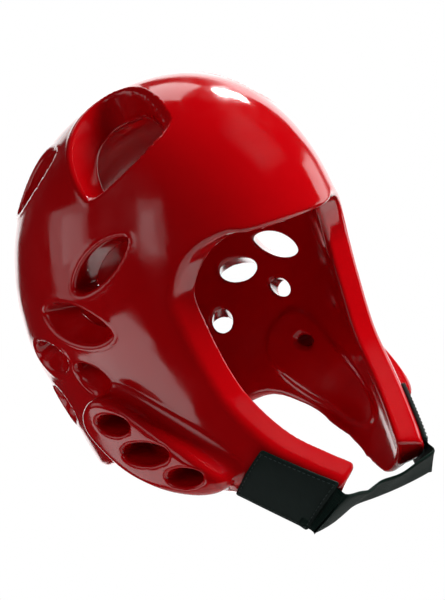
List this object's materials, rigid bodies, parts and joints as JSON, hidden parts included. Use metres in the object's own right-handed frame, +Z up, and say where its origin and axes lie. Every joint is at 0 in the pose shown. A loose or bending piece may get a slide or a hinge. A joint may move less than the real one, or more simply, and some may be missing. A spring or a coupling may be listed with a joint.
{
  "type": "taekwondo headgear",
  "caption": "Taekwondo headgear: a thick dipped-foam head guard with vents, raised ear guards and open face, held by an elastic chin strap between anchor tabs.",
  "frame": {"origin": "where the headgear sits on the crown of the head, in the middle from left to right: the inner face under the crown is at height 0", "axes": "+Z up as worn, the face opening looks along -Y, +X towards the wearer's left; symmetric about X = 0"},
  "size_m": [0.2162, 0.2396, 0.2908],
  "materials": {
    "red_foam": "gloss, dipped vinyl skin over closed-cell foam",
    "black_tab": "matt coated fabric",
    "black_webbing": "woven elastic webbing"
  },
  "bodies": {
    "root": {"foam_shell": "red_foam", "strap_tab_right": "black_tab", "strap_tab_left": "black_tab", "chin_strap": "black_webbing"}
  },
  "joints": []
}
